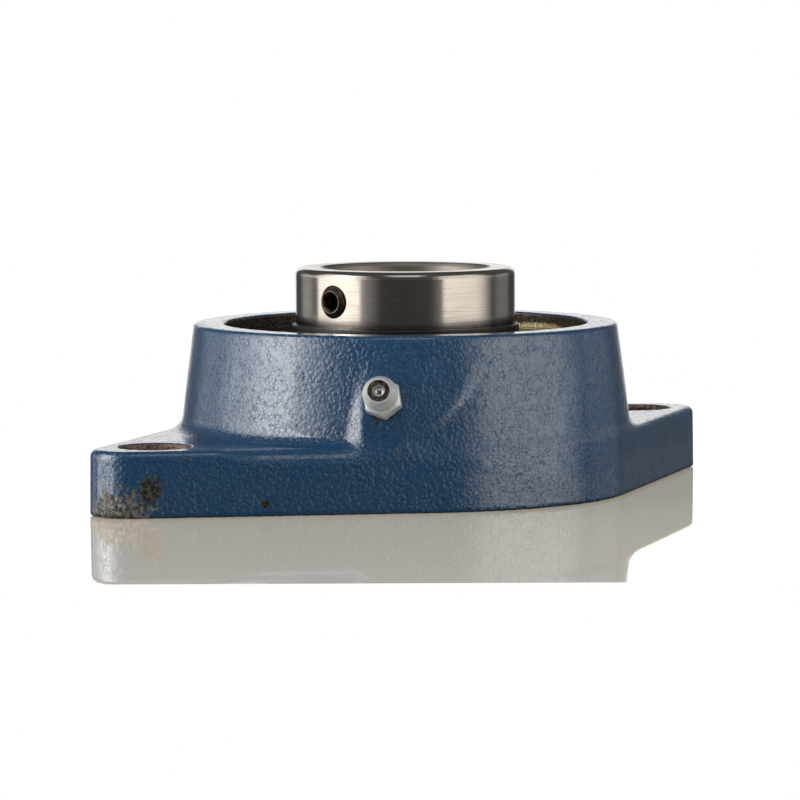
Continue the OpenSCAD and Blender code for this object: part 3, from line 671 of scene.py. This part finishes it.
def make_nipple():
    """The grease nipple: a bevelled hexagon, a waisted neck and a tapered head with its mouth."""
    hex_top = PAD_RISE + HEX_HEIGHT
    top = hex_top + HEAD_HEIGHT
    edge = hexagon(HEX_RADIUS)
    bevel_radius = HEX_RADIUS - HEX_BEVEL
    foot = top - HEAD_TAPER - HEAD_BAND
    flare = HEAD_RADIUS - NECK_RADIUS
    thread = NIPPLE_THREAD - FIT_GAP
    rows = [(0, -NIPPLE_DEPTH), (thread - 0.4, -NIPPLE_DEPTH), (thread, 0.4 - NIPPLE_DEPTH),
            (thread, PAD_RISE), (edge - 0.15, PAD_RISE), (edge, PAD_RISE + 0.15)]
    for z in np.linspace(hex_top - HEX_BEVEL, hex_top - 0.1, 7):
        rows.append((np.minimum(edge, bevel_radius + hex_top - z), z))
    rows += [(bevel_radius, hex_top), (NECK_RADIUS + 0.25, hex_top), (NECK_RADIUS, hex_top + 0.25),
             (NECK_RADIUS, foot - flare - 0.1), (NECK_RADIUS + 0.1, foot - flare + 0.1)]
    rows += [(HEAD_RADIUS - 0.12, foot - 0.12), (HEAD_RADIUS, foot + 0.05),
             (HEAD_RADIUS, foot + HEAD_BAND - 0.1), (HEAD_RADIUS - 0.07, foot + HEAD_BAND + 0.08)]
    rows += [(FACE_RADIUS + 0.2, top - 0.3), (FACE_RADIUS + 0.06, top - 0.06), (FACE_RADIUS - 0.12, top),
             (FACE_RADIUS - 0.3, top - 0.04), (MOUTH_RADIUS + 0.12, top - 0.04), (MOUTH_RADIUS, top - 0.16),
             (MOUTH_RADIUS, top - MOUTH_DEPTH), (CHECK_BORE, top - MOUTH_DEPTH), (CHECK_BORE, CHECK_FLOOR),
             (0, CHECK_FLOOR)]
    points, faces = turned(rows, start=HEX_TURN)
    points = stood(points, NIPPLE_FOOT, NIPPLE_DOWN, NIPPLE_SIDE, NIPPLE_AXIS)
    made = new_object("nipple_fitting", points, faces, PLATED_STEEL, sharp=32)
    local = (points - NIPPLE_FOOT) @ np.array([NIPPLE_DOWN, NIPPLE_SIDE, NIPPLE_AXIS]).T
    reach = np.hypot(local[:, 0], local[:, 1])
    browned = (local[:, 2] > top - 0.12) & (reach < FACE_RADIUS - 0.2) & (reach > MOUTH_RADIUS)
    made.data.attributes.new("patina", "FLOAT", "POINT").data.foreach_set("value", browned.astype(np.float32))
    return place(made, "housing", "plated_steel", "grease_nipple_body")


def make_spring():
    """The wound wire behind the check ball, which shortens as the ball is pressed in."""
    sides = 10
    turn = np.linspace(0, 2 * math.pi * SPRING_TURNS, 24 * SPRING_TURNS + 1)
    round_wire = np.arange(sides) * 2 * math.pi / sides
    reach = SPRING_RADIUS + SPRING_WIRE / 2 * np.cos(round_wire)
    middle = np.linspace(SPRING_FOOT + SPRING_WIRE / 2, SPRING_TOP - SPRING_WIRE / 2, len(turn))
    height = middle[:, None] + SPRING_WIRE / 2 * np.sin(round_wire)
    rounds = [np.outer(np.cos(turn), reach), np.outer(np.sin(turn), reach), height]
    points = np.stack(rounds, -1).reshape(-1, 3)
    rings = np.arange(len(points)).reshape(-1, sides)
    faces = [[a[k], a[k - 1], b[k - 1], b[k]] for a, b in zip(rings, rings[1:]) for k in range(sides)]
    faces += [rings[0], rings[-1][::-1]]
    points = stood(points, NIPPLE_FOOT, NIPPLE_DOWN, NIPPLE_SIDE, NIPPLE_AXIS)
    made = new_object("wound_spring", points, faces, BALL_STEEL, sharp=60)
    place(made, "housing", "ball_steel", "nipple_spring")
    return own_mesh(made)


def make_screw(name, turn):
    """A cup-point set screw with a rolled thread and a hexagon socket."""
    angle = np.arange(96) / 96
    tip = SCREW_RADIUS - TIP_BEVEL
    end = SCREW_RADIUS - SCREW_BEVEL
    rows = [(0, tip / 2), (tip - 0.1, 0.05)]
    for z in np.arange(0, SCREW_LENGTH + 0.01, THREAD_PITCH / 8):
        wave = np.abs(2 * ((z / THREAD_PITCH - angle) % 1) - 1)
        ridge = SCREW_RADIUS - THREAD_DEPTH * (1 - np.clip(1.3 * wave - 0.15, 0, 1))
        rows.append((np.minimum(ridge, min(tip + z, end + SCREW_LENGTH - z)), z))
    lead = SOCKET_RADIUS + 0.12
    wall = hexagon(SOCKET_RADIUS)
    rows += [(end, SCREW_LENGTH), (lead + 0.05, SCREW_LENGTH), (lead, SCREW_LENGTH - 0.06),
             (np.minimum(wall, lead), SCREW_LENGTH - 0.3), (wall, SCREW_LENGTH - SOCKET_DEPTH),
             (0, SCREW_LENGTH - SOCKET_DEPTH - 0.3)]
    points, faces = turned(rows)
    out = np.array([math.cos(turn), math.sin(turn), 0])
    side = np.array([-math.sin(turn), math.cos(turn), 0])
    points = stood(points, SCREW_Z * UP + SCREW_TIP * out, -UP, side, out)
    made = new_object(f"threaded_screw_{name}", points, faces, BLACK_OXIDE, sharp=40)
    return place(made, f"screw_{name}", "black_oxide", f"set_screw_{name}")


def make_flinger(end):
    """A pressed thrower plate with a rolled collar along the ring."""
    low, high = (np.array(corner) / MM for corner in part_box(f"{end}_flinger"))
    foot, rise, collar = (low[2], 1, high[2] + COLLAR_LIP) if end == "front" else (high[2], -1, low[2])
    face = foot + rise * FLINGER_SHEET
    outer = FLINGER_INNER + FLINGER_SHEET
    section = [(FLINGER_INNER, foot, 0.6), (high[0], foot, 0.25), (high[0], face, 0.25),
               (outer, face, 0.5), (outer, collar, 0.3), (FLINGER_INNER, collar, 0.2)]
    points, faces = turned(rounded(section)[::rise], turns=160, closed=True)
    made = new_object(f"{end}_thrower", points, [loop[::-1] for loop in faces], FLINGER_BLACK, sharp=50)
    return place(made, "inner_race", "flinger_black", f"{end}_flinger")


housing = make_housing(MESH_STEP)
nipple = make_nipple()
spring = make_spring()
screws = [make_screw(name, turn) for name, turn in SCREW_TURNS.items()]
flingers = [make_flinger(end) for end in ("front", "rear")]


def make_camera():
    """The photograph's camera."""
    level = Vector((-math.sin(CAMERA_TURN), -math.cos(CAMERA_TURN), 0))
    back = level * math.cos(CAMERA_RISE) + Vector((0, 0, math.sin(CAMERA_RISE)))
    right = Vector((math.cos(CAMERA_TURN), -math.sin(CAMERA_TURN), 0))
    up = back.cross(right)
    turned_right = right * math.cos(CAMERA_ROLL) + up * math.sin(CAMERA_ROLL)
    turned_up = up * math.cos(CAMERA_ROLL) - right * math.sin(CAMERA_ROLL)
    data = bpy.data.cameras.new("camera")
    data.sensor_width = SENSOR
    data.lens = FOCAL_PIXELS / IMAGE_SIZE * SENSOR
    data.shift_x = (IMAGE_SIZE / 2 - TARGET_PIXEL[0]) / IMAGE_SIZE
    data.shift_y = (TARGET_PIXEL[1] - IMAGE_SIZE / 2) / IMAGE_SIZE
    data.clip_start, data.clip_end = 0.01, 20
    made = bpy.data.objects.new("camera", data)
    made.matrix_world = Matrix.LocRotScale(
        CAMERA_TARGET + back * CAMERA_DISTANCE * MM,
        Matrix((turned_right, turned_up, back)).transposed(), None)
    bpy.context.scene.collection.objects.link(made)
    bpy.context.scene.camera = made


def softbox(name, turn, half_angle, low, high, radiance, tint, fade, lift=0):
    """A lamp panel that fades to its sides. Turn and lift are its angles from the camera and the floor."""
    data = bpy.data.lights.new(name, "AREA")
    data.shape = "RECTANGLE"
    data.size, data.size_y = 2 * PANEL_DISTANCE * math.tan(math.radians(half_angle)), high - low
    data.color = tint
    data.energy = radiance * math.pi * data.size * data.size_y
    data.use_nodes = True
    tree = data.node_tree
    across = tree.nodes.new("ShaderNodeSeparateXYZ")
    tree.links.new(tree.nodes.new("ShaderNodeNewGeometry").outputs["Parametric"], across.inputs[0])
    sides = []
    for edge, inner in ((0, fade[0]), (1, 1 - fade[1])):
        side = tree.nodes.new("ShaderNodeMapRange")
        side.interpolation_type = "SMOOTHSTEP"
        side.inputs["From Min"].default_value = edge
        side.inputs["From Max"].default_value = inner
        tree.links.new(across.outputs[0], side.inputs["Value"])
        sides.append(side.outputs[0])
    level = tree.nodes.new("ShaderNodeMath")
    level.operation = "MULTIPLY"
    for socket, side in zip(level.inputs, sides):
        tree.links.new(side, socket)
    tree.links.new(level.outputs[0], tree.nodes["Emission"].inputs["Strength"])
    made = bpy.data.objects.new(name, data)
    around = Matrix.Rotation(math.radians(turn) - CAMERA_TURN, 4, "Z")
    lifted = Matrix.Rotation(-math.radians(lift), 4, "X")
    standing = Matrix.Translation((0, -PANEL_DISTANCE, (low + high) / 2))
    made.matrix_world = around @ lifted @ standing @ Matrix.Rotation(math.radians(90), 4, "X")
    bpy.context.scene.collection.objects.link(made)


def make_world():
    """White to the eye, a dark room with a white wall behind in reflections, and a soft fill all round."""
    world = bpy.data.worlds.new("studio")
    world.use_nodes = True
    bpy.context.scene.world = world
    tree = world.node_tree
    tree.nodes.clear()

    def node(kind, settings, inputs, output=0):
        made = tree.nodes.new(kind)
        for name, value in settings.items():
            setattr(made, name, value)
        for socket, value in inputs.items():
            if isinstance(value, bpy.types.NodeSocket):
                tree.links.new(value, made.inputs[socket])
            else:
                made.inputs[socket].default_value = value
        return made.outputs[output]

    def along(direction):
        place = node("ShaderNodeTexCoord", {}, {}, "Generated")
        return node("ShaderNodeVectorMath", {"operation": "DOT_PRODUCT"}, {0: place, 1: direction}, "Value")

    right = along((math.cos(CAMERA_TURN), -math.sin(CAMERA_TURN), 0))
    front = along((-math.sin(CAMERA_TURN), -math.cos(CAMERA_TURN), 0))
    turn = node("ShaderNodeMath", {"operation": "ARCTAN2"}, {0: right, 1: front})
    share = node("ShaderNodeMapRange", {}, {0: turn, 1: -math.pi, 2: math.pi})
    ramp = tree.nodes.new("ShaderNodeValToRGB")
    tree.links.new(share, ramp.inputs[0])
    stops = ramp.color_ramp.elements
    for angle, level in SURROUNDINGS:
        stop = stops[0] if angle == -180 else stops[-1] if angle == 180 else stops.new((angle + 180) / 360)
        stop.color = (level, level, level, 1)
    high = node("ShaderNodeMapRange", {}, {0: along((0, 0, 1)), 1: BACKDROP_TOP, 2: BACKDROP_TOP + 0.15})
    around = node("ShaderNodeMix", {"data_type": "RGBA"}, {0: high, 6: ramp.outputs[0], 7: CEILING}, 2)
    dim = node("ShaderNodeMapRange", {}, {0: along((0, 0, 1)), 1: -0.05, 2: 0.05, 3: BELOW_EYE_LEVEL, 4: 1.0})
    around = node("ShaderNodeVectorMath", {"operation": "SCALE"}, {0: around, "Scale": dim})
    path = tree.nodes.new("ShaderNodeLightPath").outputs
    mirrored = node("ShaderNodeMath", {"operation": "MAXIMUM"},
                    {0: path["Is Glossy Ray"], 1: path["Is Transmission Ray"]})
    fill = node("ShaderNodeMix", {"data_type": "RGBA"}, {0: mirrored, 6: FILL, 7: around}, 2)
    shown = {0: path["Is Camera Ray"], 6: fill, 7: (1, 1, 1, 1)}
    seen = node("ShaderNodeMix", {"data_type": "RGBA"}, shown, 2)
    light = node("ShaderNodeBackground", {}, {"Color": seen})
    tree.links.new(light, tree.nodes.new("ShaderNodeOutputWorld").inputs["Surface"])


def floor_point(x, y):
    """The point of the floor's plane that a pixel of the photograph shows."""
    camera = bpy.context.scene.camera
    offset = Vector((x - TARGET_PIXEL[0], TARGET_PIXEL[1] - y, -FOCAL_PIXELS))
    start = camera.matrix_world.translation
    way = camera.matrix_world.to_3x3() @ offset
    return (start - way * (start.z / way.z)) / MM


def make_floor():
    """A pale glossy sheet under the part. Its front edge lies where the photograph's reflection ends."""
    front = floor_point(TARGET_PIXEL[0], FLOOR_FRONT_PIXEL)
    aside = Vector((math.cos(CAMERA_TURN), -math.sin(CAMERA_TURN), 0)) * FLOOR_HALF_WIDTH
    deep = Vector((math.sin(CAMERA_TURN), math.cos(CAMERA_TURN), 0)) * FLOOR_DEPTH
    corners = [front - aside, front + aside, front + aside + deep, front - aside + deep]
    floor = new_object("floor", [(p.x, p.y, -FLOOR_DROP) for p in corners], [(0, 1, 2, 3)], None)
    s = Shader("floor", Roughness=0.02, IOR=1.6, Coat_Weight=1.0, Coat_IOR=1.5, Coat_Roughness=0.02)
    path = s.node("ShaderNodeLightPath", output="Is Glossy Ray")
    seen = s.node("ShaderNodeLightPath", output="Is Camera Ray")
    cloud = s.span(s.noise(0.004, 2.0), 0.3, 0.7)
    pale = s.mix(cloud, FLOOR_COLOUR, tuple(c * 0.99 for c in FLOOR_COLOUR[:3]) + (1.0,))
    floor.data.materials[0] = s.finish(
        Base_Color=s.mix(path, pale, (0.06, 0.06, 0.06, 1)), Emission_Color=FLOOR_WARMTH,
        Emission_Strength=s.math("MULTIPLY", seen, FLOOR_GLOW))


make_camera()
make_world()
make_floor()
for panel in PANELS:
    softbox(*panel)

bpy.context.scene.view_settings.view_transform = "Standard"
